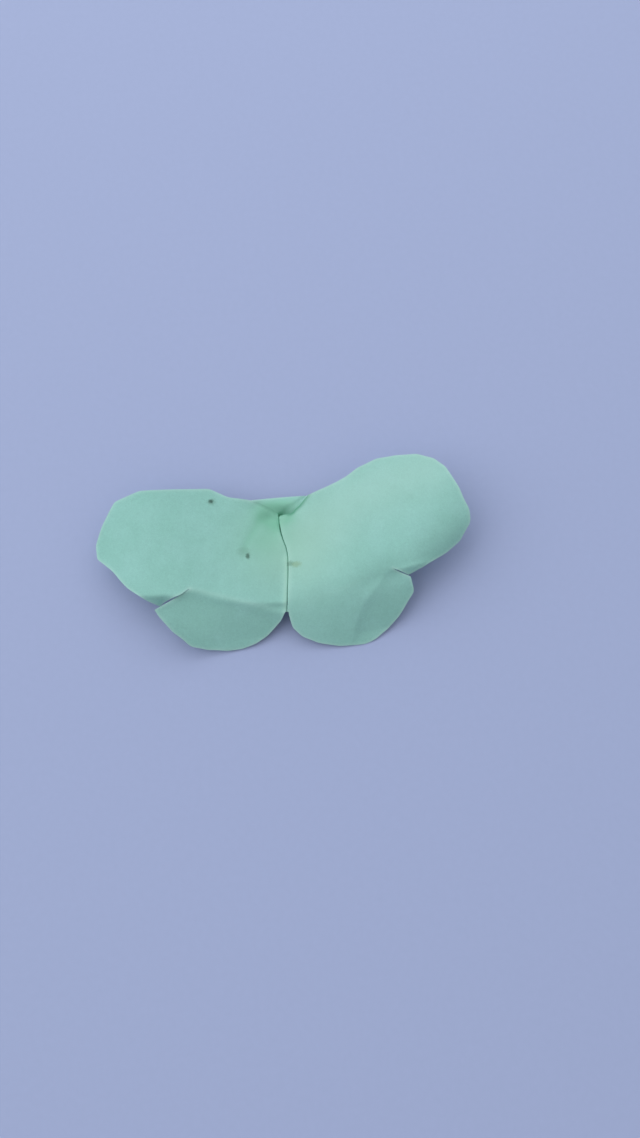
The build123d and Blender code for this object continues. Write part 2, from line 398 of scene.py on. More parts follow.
def pleat_section(k, rise):
    """Cross-section of the pleat at one bend of the body line, its bottom fold raised by rise."""
    start = place(left, *left["line"][k], 0.0)
    finish = place(right, *right["line"][k], 0.0)
    slot = (finish[0] - start[0] - left["root_x"] - right["root_x"]) / 2 + wall_x
    bottom = paper / 2 + slot + rise
    walls = [p[2] - ridge_radius * cos(radians(half["lift"])) - bottom
             for p, half in ((start, left), (finish, right))]
    moves = [(ridge_radius, left["lift"] - 90), (walls[0], 0), (slot, 180), (walls[1], 0),
             (ridge_radius, right["lift"] - 90)]
    flat = section((start[0], start[2]), -left["lift"], moves, counts)
    return np.stack([flat[:, 0], np.full(len(flat), start[1]), flat[:, 1]], axis=1)


def mouth_section():
    """Cross-section of the open mouth, a little past the neck."""
    y = (left["neck"][1] + right["neck"][1]) / 2 + mouth_overrun
    edges = []
    for half in (left, right):
        run = half["neck"] - half["line"][-1]
        edges.append(place(half, *(half["line"][-1] + run * (y - half["line"][-1][1]) / run[1]), 0.0))
    slope_in, slope_out = -left["lift"] - left["mouth_drop"], right["lift"] + right["mouth_drop"]

    def moves(a, b):
        return [(ridge_radius, -left["mouth_drop"]), (a, 0), (mouth_valley_radius, slope_out - slope_in),
                (b, 0), (ridge_radius, -right["mouth_drop"])]

    start = (edges[0][0], edges[0][2])
    bare = section(start, -left["lift"], moves(0, 0), counts)[-1]
    gap = np.array((edges[1][0] - bare[0], edges[1][2] - bare[1]))
    a, b = radians(slope_in), radians(slope_out)
    sides = np.linalg.solve([[cos(a), cos(b)], [sin(a), sin(b)]], gap)
    flat = section(start, -left["lift"], moves(*sides), counts)
    return np.stack([flat[:, 0], np.full(len(flat), y), flat[:, 1]], axis=1)


stops = [pleat_section(k, 0) for k in range(4)]
stops += [pleat_section(4, keel_rise / 2), pleat_section(5, keel_rise), mouth_section()]
print("sections", len(stops), "with", len(stops[0]), "points each")

# %% [markdown]
# ## From sections to a grid
# The sections stand at the bends of the body line, and straight rows of points join each to the next. The
# tail end is cut on a slant and the head end along the neck, because the scissors went through the folded
# sheet there. Last, the bends of the rows are eased, as paper can't turn sharply along a fold.

# %% Join the sections into a pleat
lean = tan(radians(tail_slant))
drop = stops[1] - stops[0]
slant_top = left["root_z"] - 2 * paper
first = np.clip((slant_top - stops[0][:, 2]) * lean / (drop[:, 1] + drop[:, 2] * lean), 0, 1)
neck_left, neck_right = place(left, *left["neck"], 0.0), place(right, *right["neck"], 0.0)
cut_plane = np.cross(neck_right - neck_left, (0, -tan(radians(neck_lean)), 1))
last = (neck_left - stops[5]) @ cut_plane / ((stops[6] - stops[5]) @ cut_plane)
pleat = [stops[0] + drop * first[:, None]]
for k, count in enumerate(rows):
    begin = first if k == 0 else np.zeros(len(first))
    end = last if k == len(rows) - 1 else np.ones(len(last))
    for i in range(1, count + 1):
        share = (begin + (end - begin) * i / count)[:, None]
        pleat.append(stops[k] + (stops[k + 1] - stops[k]) * share)
pleat = eased(pleat)
print("pleat grid", pleat.shape[:2], "lowest", pleat[:, :, 2].min().round(3))

# %% [markdown]
# ## Tools for soft marks
# Handled paper has no hard dents: a fingertip leaves a round dip, a nail leaves a line, and a bent corner
# goes down on one side of a line. Each is a plain function of the place on the table, so a mark is put
# where it is seen by its middle and reach, or by a drawn path. The sheet also cockles in slow waves of less
# than a tenth of a millimetre, because it was never pressed flat.


# %% Make the tools for marks
def bump(points, centre, reach):
    """Round soft bump of height 1."""
    gap = (points[:, :2] - np.array(centre)) / np.array(reach)
    return np.exp(-(gap ** 2).sum(axis=1))


def dents(points, spots):
    """Sum of soft bumps, each given by its height, centre and reach."""
    return sum(height * bump(points, centre, reach) for height, centre, reach in spots)


def swell(t, middle, reach):
    """Soft swell of height 1 along one direction."""
    return np.exp(-((t - middle) / reach) ** 2)


def grow(t, reach):
    """Rise from 0 to 1 that is mostly done within the reach."""
    return 1 - np.exp(-t / reach)


def smooth(t):
    """Soft step from 0 to 1 while t goes from 0 to 1."""
    t = np.clip(t, 0, 1)
    return t * t * (3 - 2 * t)


def trace(path, count=24):
    """Close-set points along a drawn path, and the direction of the path at each."""
    path = np.array(path)
    shares = np.linspace(0, 1, count)[:, None]
    dots = np.vstack([a + (b - a) * shares for a, b in zip(path, path[1:])])
    ways = np.repeat(np.diff(path, axis=0), count, axis=0)
    return dots, ways / np.linalg.norm(ways, axis=1)[:, None]


def ridge(points, path, width):
    """Height 1 along a drawn path, falling off softly on both sides."""
    return np.exp(-(nearest(points[:, :2], trace(path)[0]) / width) ** 2)


def past(points, path):
    """How far each point lies to the left of a drawn path, looking along it; 0 on its right."""
    dots, ways = trace(path)
    found = np.zeros(len(points))
    for k, point in enumerate(points[:, :2]):
        gap = point - dots
        i = int(np.argmin((gap ** 2).sum(axis=1)))
        found[k] = max(0.0, ways[i][0] * gap[i][1] - ways[i][1] * gap[i][0])
    return found


# Height, length and layer of the slow waves
waves = ((0.10, 6, 0.4), (0.03, 2, 3))


def cockle(points):
    """Slow waves of paper that was never pressed flat."""
    return np.array([sum(height * noise.noise(Vector((x / length, y / length, layer)))
                         for height, length, layer in waves) for x, y, _ in points])


print("the pleat cockles by up to", np.abs(cockle(pleat.reshape(-1, 3))).max().round(3), "mm")

# %% [markdown]
# ## Marks beside the body
# Fingers pinched the body at the head, which left a dip in the left wing beside the slot and a faint stroke
# down the wing from it. A fingernail sharpened the crease of the left hindwing near the tail. The right
# half has no sharp crease there: it is a soft roll that starts a few millimetres above the line.

# %% Mark the paper beside the body
tail_rows, mouth_rows, neck_rows = 26, 25, 5
left_edge = [place(left, *spot, 0.0)[:2] for spot in body_edge(left)]
lip, mouth_fold = left_edge[:tail_rows], left_edge[-mouth_rows:-neck_rows]
stroke = [(-3.7, 16.8), (-4.8, 14.3), (-6.1, 12.4), (-6.6, 10.9)]
nail_crease = [(0.6, 1.35), (-3.1, 1.5), (-6.2, 1.7), (-11.4, 2.4), (-15.9, 3.6)]
head_dips = ((-0.75, (-0.8, 15.9), (2.6, 2.4)), (-0.35, (-2.4, 16.6), (1.1, 1.0)),
             (-0.20, (-4.4, 18.4), (1.6, 1.1)))


def roll(u, v):
    """How far the right half turns down early, and the belly of the wing above its roll."""
    early, foot, fade, belly = 4.0, 8.0, 2.5, 0.008
    out, up = crease_way(right)[1]
    p = u * up - v * out
    shift = early * (1 - np.clip((p + early) / (foot + early), 0, 1)) ** 2
    before = np.where(p > 0, hindwing(right, u, np.where(p > 0, v, 0)), 0)
    turned = hindwing(right, u + shift * up, v - shift * out) - before
    turned = turned * np.exp(-(np.maximum(u - right["slit_start"][0], 0) / fade) ** 2)
    belly_top = 13.5 + 0.3 * (u - 18)
    chord = np.maximum(belly_top - v, 0) * np.exp(-(np.maximum(p, 0) / fade) ** 2)
    inner_end, outer_end = smooth((u - 10) / 6), 1 - smooth((u - 23) / 6)
    return turned - belly * chord ** 2 * inner_end * outer_end


def pinch(half, points):
    """Marks beside the body: the dip at the head, the lip of the fold and the creases at the tail."""
    if half is right:
        u = (points[:, 0] - right["root_x"]) / cos(radians(right["lift"]))
        return 0.12 * bump(points, (1.2, 15.2), (1.6, 2.4)) + roll(u, points[:, 1])
    below = past(points, nail_crease)
    depth = 0.35 + 0.65 * swell(points[:, 0], 0, 5)
    outer_end = np.clip((points[:, 0] - nail_crease[-1][0]) / 7, 0, 1)
    nail = depth * outer_end * grow(below, 0.8) * np.exp(-below / 6.0)
    return (dents(points, head_dips) + 0.16 * ridge(points, lip, 0.6)
            - 0.12 * ridge(points, mouth_fold, 0.35) - 0.07 * ridge(points, stroke, 0.8) - nail)


print("the pinch sinks the left body fold by", round(-pinch(left, np.array(left_edge)).min(), 2), "mm")

# %% [markdown]
# ## Folds that slipped aside
# The fold of the right half lies a little over to the left along the slot, most at the head, where it shuts
# the slot, and it curves back at the mouth. The mouth lies open with a raised floor, and its right wall is
# folded in under the wing. The left slit is shut at its inner half and gapes at its outer end. The tip of
# the right wing and the back edge of the left one lie further out. All but the raised floor are small
# shifts in the plane of the table.

# %% Shift the folds aside
left_foot, right_foot, right_top = np.cumsum(counts)[1:4]
wing_edge = right_top + 3
mouth_pull = ((0.60, (1.6, 17.5), (1.0, 0.75)), (0.55, (3.0, 18.5), (1.8, 1.2)))
slot_squeeze = ((-0.05, (-0.2, 14.4), (2.2, 0.9)), (-0.62, (0.35, 16.5), (0.5, 0.75)),
                (-0.22, (0.0, 15.5), (0.8, 0.6)), (-0.07, (0.6, 5.0), (2.0, 6.0)),
                (-0.05, (0.6, 9.9), (2.0, 1.4)), (-0.05, (0.3, 12.3), (2.0, 1.5)))


def sway(points):
    """Shift of the right half: back at the mouth, over to the left along the slot, out at the tip."""
    mouth = dents(points, mouth_pull)
    slot = dents(points, slot_squeeze)
    tip = 0.45 * bump(points, (31.2, 13.6), (2.4, 2.2))
    return mouth[:, None] * np.array((0.35, -0.9)) + (slot + tip)[:, None] * np.array((1.0, 0.0))


def back_edge(points):
    """Shift of the back edge of the left forewing, out and back."""
    return 0.5 * bump(points, (-26.5, 5.6), (4.5, 3.6))[:, None] * np.array((-0.45, -0.9))


def close_slit(u, v):
    """Shift of the left forewing: its slit shuts at the inner half and gapes at the outer end."""
    flat = np.stack([u, v], axis=1)
    away = np.hypot(u - left["slit_start"][0], v - left["slit_start"][1])
    inner = bump(flat, (17.4, 3.85), (1.4, 1.1)) * (1 - np.exp(-(away / 0.9) ** 2))
    outer = bump(flat, (20.2, 2.7), (1.1, 1.0))
    shift = np.where(is_hind(left, u, v), 0.0, 0.20 * inner - 0.24 * outer)
    return shift[:, None] * np.array((0.44, -0.9))


def undercut(points, column):
    """Shift of the right wall of the mouth, which is folded in under the wing."""
    depth, fade_in, fade_out = 0.8, 6, 4
    wall = np.clip((column - left_foot) / fade_in, 0, 1)
    wall = wall * np.clip((wing_edge - 1 - column) / fade_out, 0, 1)
    return (depth * wall * swell(points[:, 1], 18.6, 1.4))[:, None] * np.array((0.6, -0.8))


def shallow(grid):
    """Rise of the pleat where its mouth lies open: a share of its depth below the two fold lines."""
    across = (grid[:, :, 0] - grid[:, :1, 0]) / (grid[:, -1:, 0] - grid[:, :1, 0])
    depth = grid[:, :1, 2] + across * (grid[:, -1:, 2] - grid[:, :1, 2]) - grid[:, :, 2]
    on_floor = np.clip((right_top - np.arange(grid.shape[1])) / wall_steps, 0, 1)
    raised = 0.6
    return (raised * depth * on_floor * swell(grid[:, :, 1], 18.8, 1.5)).reshape(-1)


print("the floor of the mouth rises by up to", shallow(pleat).max().round(2), "mm")

# %% [markdown]
# ## Marks of each wing
# At both slits the corner of the forewing is bent down. The left hindwing sags below its crease and lifts a
# little at its slit. The right one has a second soft crease that fans out from the inner end of the slit,
# and a steeper tab beside the slit. They are heights that count only on the wing they belong to.

# %% Mark each wing
left_corner = [(-18.5, 3.55), (-22.1, 3.95), (-25.6, 4.35), (-28.0, 5.2)]
right_corner = [(28.0, 8.0), (24.9, 6.65), (21.5, 6.1), (19.2, 5.65)]
second_crease = [(11.0, -5.0), (11.6, -2.8), (13.0, 0.4), (15.1, 2.6), (17.4, 5.5)]


def wing_marks(half, points, u, v):
    """Marks that belong to one half: the bent corner at the slit and the soft creases of the hindwing."""
    hind = is_hind(half, u, v)
    start = half["slit_start"]
    p = np.where(hind, (u * start[1] - v * start[0]) / hypot(*start), 0.0)
    flat = np.stack([u, v], axis=1)
    beyond = past(points, left_corner if half is left else right_corner)
    beyond = np.where(hind | (u < start[0]), 0.0, beyond)
    slope, ease = 1.3, 0.15
    corner = -slope * (beyond - ease * grow(beyond, ease))
    if half is left:
        lift = ridge(flat, [start, half["hind_tip"]], 0.6)
        steep = p * np.exp(-(p / 5.0) ** 2) * bump(flat, (15.5, 2.0), (4.0, 6.0))
        sag = (1 - np.exp(-(p / 1.2) ** 2)) * np.exp(-p / 4.0)
        return corner + np.where(hind, 0.15 * lift * grow(p, 0.5) - 0.25 * steep - 0.50 * sag, 0.0)
    mirrored = [(x, -y) for x, y in second_crease]
    aside = np.where(hind, past(points * (1, -1, 1), mirrored), 0.0)
    tab = 2.2 * grow(p, 2.2) * bump(flat, (21.5, 4.5), (4.5, 4.5))
    return corner - 0.5 * grow(aside, 1.3) * grow(p, 0.6) - 0.40 * tab


print("second crease from", second_crease[0], "to", second_crease[-1])

# %% [markdown]
# ## Joining the halves and the pleat
# The marks are added to the placed sheet and fade out near the table, so the sheet still rests on the same
# edges. The pleat takes the marks of the half it joins, fading down its walls, so the folds show no step.


# %% Add the marks and join the pieces
def settle(points, amount, low=0.15, full=1.2):
    """Raise the points by an amount that fades out near the table."""
    points[:, 2] += amount * np.clip((points[:, 2] - low) / full, 0, 1)
    return points


spots, faces = [], []
for half in (left, right):
    u, v = half["flat"].T
    points = place(half, u, v, sheet_height(half, u, v))
    marks = cockle(points) + pinch(half, points) + wing_marks(half, points, u, v)
    print("handling moves the paper by", marks.min().round(2), "to", marks.max().round(2), "mm")
    if half is right:
        points[:, :2] += sway(points)
    else:
        points[:, :2] += back_edge(points)
        points[:, :2] += close_slit(u, v)
    faces += [[k + len(spots) for k in face] for face in half["faces"]]
    spots += list(settle(points, marks))

base = len(spots)
deep, wide = pleat.shape[:2]
column = np.tile(np.arange(wide), deep)
straight = pleat.reshape(-1, 3)
on_left = np.clip((left_foot - column) / wall_steps, 0, 1)
on_right = np.clip((column - right_foot) / wall_steps, 0, 1)
marks = on_left * (cockle(straight) + pinch(left, straight))
marks = marks + on_right * (cockle(straight) + pinch(right, straight))
points = settle(straight.copy(), marks)
points[:, :2] += np.clip((column - left_foot) / bottom_steps, 0, 1)[:, None] * sway(straight)
points[:, :2] += undercut(straight, column)
points[:, 2] += shallow(pleat)
mouth_wall = points.reshape(deep, wide, 3)[-mouth_rows - 1:, wing_edge, :2]
spots += list(points)
for i in range(deep - 1):
    for j in range(wide - 1):
        corner = base + i * wide + j
        faces.append([corner, corner + 1, corner + wide + 1, corner + wide])
spots = np.array(spots)
print("points of both halves and the pleat", len(spots))

# %% [markdown]
# ## One welded sheet
# The two halves and the pleat share the points of the body folds, so they are welded there into one sheet,
# with all faces turned the same way. Its open border is the cut edge.

# %% Weld the sheet
weld_gap = 2e-6
mesh = bpy.data.meshes.new("butterfly_sheet")
mesh.from_pydata([tuple(p) for p in (spots + seat) / 1000], [], faces)
work = bmesh.new()
work.from_mesh(mesh)
bmesh.ops.remove_doubles(work, verts=work.verts, dist=weld_gap)
bmesh.ops.recalc_face_normals(work, faces=work.faces)
if sum(face.normal.z * face.calc_area() for face in work.faces) < 0:
    bmesh.ops.reverse_faces(work, faces=work.faces)
cut_points = np.array([vert.co[:] for vert in work.verts if vert.is_boundary]) * 1000
work.to_mesh(mesh)
work.free()
print("sheet points", len(mesh.vertices), "faces", len(mesh.polygons), "cut edge points", len(cut_points))

# %% [markdown]
# ## Where the paper is marked, and where shade and light are painted
# Before the thickness is added, each point stores how close it lies to a fold, to a cut and to the marks of
# handling, and how much painted shade and painted light it takes. The paper finish reads these numbers, so
# its colour follows the folds wherever they run.

# %% Store the paper's marks, painted shade and painted light on the sheet
here = np.array([vert.co[:] for vert in mesh.vertices]) * 1000
lay = here - seat
crease_steps = 60
folds = [place(half, *(half["slit_start"] * k / crease_steps), 0.0) + seat
         for half in (left, right) for k in range(crease_steps + 1)]
folds += [place(half, *point, 0.0) + seat for half in (left, right) for point in body_edge(half)]
# Painted shade: a deeper green in the pinched dip beside the head, in the mouth, on the left wing near the
# body and along the faint stroke
dip_shade_spots = ((1.0, (-2.2, 16.8), (2.2, 1.5)), (0.8, (0.8, 16.2), (1.6, 1.1)),
                 (0.5, (-1.0, 15.4), (1.3, 1.6)), (0.6, (-2.8, 18.6), (2.0, 0.9)),
                 (0.75, (0.6, 18.9), (2.6, 1.2)), (0.52, (-2.6, 13.2), (4.4, 4.2)))
# Painted light: a paler band over the right wing, standing in for the stronger light that wing takes
painted_light_band = [(3.0, 11.0), (11.5, 18.5), (25.0, 23.0)]
# Painted shadow: a dark line under the fold edge of the mouth's right wall, and a fainter one along the
# left fold of the mouth
right_fold = [(-0.2, 16.85), (0.6, 16.85), (1.4, 16.8), (2.0, 17.0)]
mouth_shadow_line = np.maximum(0.9 * ridge(lay, right_fold, 0.24), ridge(lay, mouth_wall, 0.34))
wear_and_painted_light = {"near_fold": np.exp(-(nearest(here, np.array(folds)) / 0.45) ** 2),
        # Part paler cut fibres, part painted highlight along the cut edge
        "cut_pale_and_highlight": np.exp(-(nearest(here, cut_points) / 0.30) ** 2),
        "painted_dip_shade": np.clip(dents(lay, dip_shade_spots) + 0.25 * ridge(lay, stroke, 0.6), 0, 1),
        "painted_right_light": ridge(lay, painted_light_band, 6.0),
        "painted_fold_shadow": np.maximum(0.30 * ridge(lay, mouth_fold, 0.28), mouth_shadow_line),
        "near_body": bump(lay, (0.5, 11.5), (8.0, 8.0)),
        # Painted highlight: a lighter strip along the lip of the left body fold
        "lip": ridge(lay, lip, 0.4)}
for name, amount in wear_and_painted_light.items():
    layer = mesh.attributes.new(name, "FLOAT", "POINT")
    layer.data.foreach_set("value", amount.astype(np.float32))
    print(name, "mean", amount.mean().round(3))

# %% [markdown]
# ## A real thickness
# The sheet is given the paper's thickness, half to each side, so it has a top, an underside and a cut edge
# like real paper. The cut edge gets a finish of its own, and only corners sharper than a fold stay sharp.

# %% Thicken the sheet
sharp_corner = radians(50)
sheet = bpy.data.objects.new("butterfly_sheet", mesh)
bpy.context.scene.collection.objects.link(sheet)
thick = sheet.modifiers.new("paper_thickness", "SOLIDIFY")
thick.thickness = paper / 1000
thick.offset = 0.0
thick.use_even_offset = True
thick.material_offset_rim = 1
for name in ("teal_paper", "cut_paper_edge"):
    mesh.materials.append(bpy.data.materials.new(name))
done = bpy.data.meshes.new_from_object(sheet.evaluated_get(bpy.context.evaluated_depsgraph_get()))
sheet.modifiers.clear()
sheet.data = done
done.polygons.foreach_set("use_smooth", [True] * len(done.polygons))
done.set_sharp_from_angle(angle=sharp_corner)
done.calc_loop_triangles()
print("thick sheet triangles", len(done.loop_triangles), "materials", [m.name for m in done.materials])

# %% [markdown]
# ## How coloured paper looks close up
# Cheap dyed paper is matt, with a cloudy tint where the pulp took the dye unevenly and short fibres that
# catch the light. One group makes the cloud, the fibres and their relief, so the face of the paper and its
# cut edge share the same stock. It puts out a colour, a roughness and a height.


# %% Make the paper grain group
def add(tree, kind, spot, inputs=None, **settings):
    """New node of one kind with its settings and the values of its inputs."""
    node = tree.nodes.new(kind)
    node.location = spot
    for name, value in settings.items():
        setattr(node, name, value)
    for name, value in (inputs or {}).items():
        node.inputs[name].default_value = value
    return node


def new_group(name, inputs, outputs):
    """New node group with its sockets; gives back the group, its entrance and its exit."""
    made = bpy.data.node_groups.new(name, "ShaderNodeTree")
    for way, sockets in (("INPUT", inputs), ("OUTPUT", outputs)):
        for label, kind in sockets.items():
            made.interface.new_socket(label, in_out=way, socket_type="NodeSocket" + kind)
    print(name, "sockets", [item.name for item in made.interface.items_tree])
    return made, add(made, "NodeGroupInput", (-900, 0)), add(made, "NodeGroupOutput", (900, 0))


# Colours of a colour mix: the two going in and the one coming out
first_colour, second_colour, mixed = 6, 7, 2
grain, enter, leave = new_group("paper_grain", {"Place": "Vector", "Tint": "Color", "Deep Tint": "Color"},
                                {"Colour": "Color", "Roughness": "Float", "Height": "Float"})
cloud = add(grain, "ShaderNodeTexNoise", (-600, 300), {"Scale": 210, "Detail": 5, "Roughness": 0.6})
fibre = add(grain, "ShaderNodeTexNoise", (-600, 0), {"Scale": 2600, "Detail": 4, "Distortion": 1.4})
pulp = add(grain, "ShaderNodeTexVoronoi", (-600, -300), {"Scale": 1500}, feature="F1")
for node in (cloud, fibre, pulp):
    grain.links.new(enter.outputs["Place"], node.inputs["Vector"])
spread = add(grain, "ShaderNodeMapRange", (-350, 300), {"From Min": 0.32, "From Max": 0.68})
tint = add(grain, "ShaderNodeMix", (-100, 300), data_type="RGBA")
grain.links.new(cloud.outputs["Fac"], spread.inputs["Value"])
grain.links.new(spread.outputs["Result"], tint.inputs["Factor"])
grain.links.new(enter.outputs["Deep Tint"], tint.inputs[first_colour])
grain.links.new(enter.outputs["Tint"], tint.inputs[second_colour])
fleck = add(grain, "ShaderNodeMapRange", (-350, 0),
            {"From Min": 0.35, "From Max": 0.65, "To Min": 0.955, "To Max": 1.045})
shade = add(grain, "ShaderNodeVectorMath", (200, 250), operation="SCALE")
grain.links.new(fibre.outputs["Fac"], fleck.inputs["Value"])
grain.links.new(tint.outputs[mixed], shade.inputs[0])
grain.links.new(fleck.outputs["Result"], shade.inputs["Scale"])
grain.links.new(shade.outputs["Vector"], leave.inputs["Colour"])
matt = add(grain, "ShaderNodeMapRange", (200, 0), {"To Min": 0.78, "To Max": 0.94})
grain.links.new(fibre.outputs["Fac"], matt.inputs["Value"])
grain.links.new(matt.outputs["Result"], leave.inputs["Roughness"])
relief = add(grain, "ShaderNodeMath", (200, -250), {1: 0.35}, operation="MULTIPLY_ADD")
grain.links.new(pulp.outputs["Distance"], relief.inputs[0])
grain.links.new(fibre.outputs["Fac"], relief.inputs[2])
grain.links.new(relief.outputs["Value"], leave.inputs["Height"])

# %% [markdown]
# ## Specks of dirt
# Three small marks show on the sheet: two dark dots, each in a faint smear, and one brown smear beside the
# body. Each is a blot with a ragged edge. A group draws one blot as a mask, given its middle and its size.

# %% Make the speck group
blot, enter, leave = new_group("dirt_blot", {"Place": "Vector", "Middle": "Vector", "Size": "Vector"},
                               {"Mask": "Float"})
away = add(blot, "ShaderNodeVectorMath", (-600, 100), operation="SUBTRACT")
blot.links.new(enter.outputs["Place"], away.inputs[0])
blot.links.new(enter.outputs["Middle"], away.inputs[1])
sized = add(blot, "ShaderNodeVectorMath", (-400, 100), operation="DIVIDE")
blot.links.new(away.outputs["Vector"], sized.inputs[0])
blot.links.new(enter.outputs["Size"], sized.inputs[1])
far_off = add(blot, "ShaderNodeVectorMath", (-200, 100), operation="LENGTH")
blot.links.new(sized.outputs["Vector"], far_off.inputs[0])
rag = add(blot, "ShaderNodeTexNoise", (-400, -200), {"Scale": 4200, "Detail": 3})
blot.links.new(enter.outputs["Place"], rag.inputs["Vector"])
edge = add(blot, "ShaderNodeMath", (0, 0), {1: 0.9}, operation="MULTIPLY_ADD")
blot.links.new(rag.outputs["Fac"], edge.inputs[0])
blot.links.new(far_off.outputs["Value"], edge.inputs[2])
mask = add(blot, "ShaderNodeMapRange", (250, 0),
           {"From Min": 0.75, "From Max": 1.45, "To Min": 1.0, "To Max": 0.0},
           interpolation_type="SMOOTHSTEP")
blot.links.new(edge.outputs["Value"], mask.inputs["Value"])
blot.links.new(mask.outputs["Result"], leave.inputs["Mask"])

# %% [markdown]
# ## Dyed paper and its cut edge
# The face and the cut edge of the paper both start from the grain group and a matt shader with a slight
# tooth; the edge has a paler tint, because cut fibres scatter the light. Colours are written as the eye
# sees them and turned to light values once.


# %% Make the two paper finishes
def colour(red, green, blue):
    """Light values of a colour given in the usual 0 to 255 steps."""
    steps = [c / 255 for c in (red, green, blue)]
    return tuple(c / 12.92 if c <= 0.04045 else ((c + 0.055) / 1.055) ** 2.4 for c in steps) + (1.0,)


def paper_base(material, light, deep, tooth_size):
    """Grain, shader and relief of one paper surface; gives back its tree, place, grain and shader."""
    material.use_nodes = True
    tree = material.node_tree
    tree.nodes.clear()
    where = add(tree, "ShaderNodeTexCoord", (-1400, 0))
    stock = add(tree, "ShaderNodeGroup", (-1100, 0), {"Tint": light, "Deep Tint": deep}, node_tree=grain)
    shader = add(tree, "ShaderNodeBsdfPrincipled", (400, 0), {"Specular IOR Level": 0.25})
    out = add(tree, "ShaderNodeOutputMaterial", (700, 0))
    tooth = add(tree, "ShaderNodeBump", (100, -300), {"Strength": 0.35, "Distance": tooth_size})
    tree.links.new(where.outputs["Object"], stock.inputs["Place"])
    tree.links.new(shader.outputs["BSDF"], out.inputs["Surface"])
    tree.links.new(stock.outputs["Roughness"], shader.inputs["Roughness"])
    tree.links.new(stock.outputs["Height"], tooth.inputs["Height"])
    tree.links.new(tooth.outputs["Normal"], shader.inputs["Normal"])
    return tree, where, stock, shader


face_paper, cut_paper = bpy.data.materials["teal_paper"], bpy.data.materials["cut_paper_edge"]
tree, where, stock, shader = paper_base(cut_paper, colour(178, 218, 210), colour(164, 208, 199), 0.00003)
tree.links.new(stock.outputs["Colour"], shader.inputs["Base Color"])
tree, where, stock, shader = paper_base(face_paper, colour(147, 199, 191), colour(140, 193, 183), 0.00006)
flow = stock.outputs["Colour"]
print("paper finishes", face_paper.name, cut_paper.name)

# %% [markdown]
# ## Marks, painted shade and painted light in the paper's colour
# The face is greener towards the body. Painted shade makes it a deeper green in the pinched dip and the
# mouth, and a painted shadow darkens a line in the fold of the mouth. Painted light makes a band of the
# right wing paler. The face is paler along the folds, where the fibres broke, and at the cut edge, where
# the cut fibres are paler and a painted highlight is added; a painted highlight also lightens the lip of
# the left body fold.
# Each is a mix towards one colour, as strong as the number stored on the sheet.

# %% Tint the marked places and paint the shade and light
# Painted light: the first tint pales a band of the right wing
tints = (("painted_right_light", 0.25, colour(186, 221, 211)),
         ("near_body", 0.45, colour(153, 198, 178)),
         # Painted shade: the next tint deepens the green in the pinched dip and the mouth
         ("painted_dip_shade", 0.75, colour(122, 188, 160)),
         # Painted shadow: the next tint darkens a line under the fold edge of the mouth
         ("painted_fold_shadow", 0.92, colour(78, 146, 118)),
         ("near_fold", 0.16, colour(186, 222, 214)),
         # Painted highlight: the next tint lightens the lip of the left body fold
         ("lip", 0.30, colour(176, 224, 200)),
         # The next tint is partly paler cut fibres and partly a painted highlight along the cut edge
         ("cut_pale_and_highlight", 0.28, colour(196, 228, 222)))


def blend_in(flow, amount, strength, target, spot):
    """Mix the colour of the face towards a target by an amount that changes over the sheet."""
    weaker = add(tree, "ShaderNodeMath", (spot[0] - 200, spot[1] - 150), {1: strength},
                 operation="MULTIPLY")
    tree.links.new(amount, weaker.inputs[0])
    mixer = add(tree, "ShaderNodeMix", spot, {second_colour: target}, data_type="RGBA")
    tree.links.new(weaker.outputs["Value"], mixer.inputs["Factor"])
    tree.links.new(flow, mixer.inputs[first_colour])
    return mixer.outputs[mixed]


for k, (name, strength, target) in enumerate(tints):
    tinted = add(tree, "ShaderNodeAttribute", (-1100, 400 + 200 * k), attribute_name=name)
    flow = blend_in(flow, tinted.outputs["Fac"], strength, target, (-800 + 150 * k, 250 + 60 * k))
print("worn places", [name for name, _, _ in tints])

# %% [markdown]
# ## Dirt on the paper
# The dirt lies over the tint. Every dot or smear is one blot with its middle and size in millimetres, and a
# dark dot is laid on its own faint smear.

# %% Add the specks
specks = (((-11.80, 19.60, 5.6), (1.05, 0.95, 1.5), 0.32, colour(88, 128, 108)),
          ((-11.95, 19.74, 5.6), (0.60, 0.52, 1.5), 0.85, colour(56, 84, 74)),
          ((-6.70, 10.6, 4.7), (1.60, 1.20, 1.5), 0.20, colour(98, 134, 114)),
          ((-6.10, 9.84, 4.7), (0.48, 0.72, 1.5), 0.75, colour(60, 92, 78)),
          ((1.05, 8.1, 4.4), (0.75, 0.66, 1.5), 0.55, colour(96, 138, 114)),
          ((2.10, 7.9, 4.4), (1.20, 0.75, 1.5), 0.40, colour(132, 158, 108)))
for k, (middle, size, strength, target) in enumerate(specks):
    middle = tuple((np.array(middle) + seat) / 1000)
    size = tuple(s / 1000 for s in size)
    dot = add(tree, "ShaderNodeGroup", (-900, -300 - 220 * k), {"Middle": middle, "Size": size},
              node_tree=blot)
    tree.links.new(where.outputs["Object"], dot.inputs["Place"])
    flow = blend_in(flow, dot.outputs["Mask"], strength, target, (-200 + 150 * k, -100 - 80 * k))
tree.links.new(flow, shader.inputs["Base Color"])
print("blots of dirt", len(specks))

# %% [markdown]
# ## The table
# The butterfly lies on a plain lavender table top, matt and very slightly uneven in colour. It is a flat
# square far larger than the sheet, and it is only the stage: it isn't part of the object.

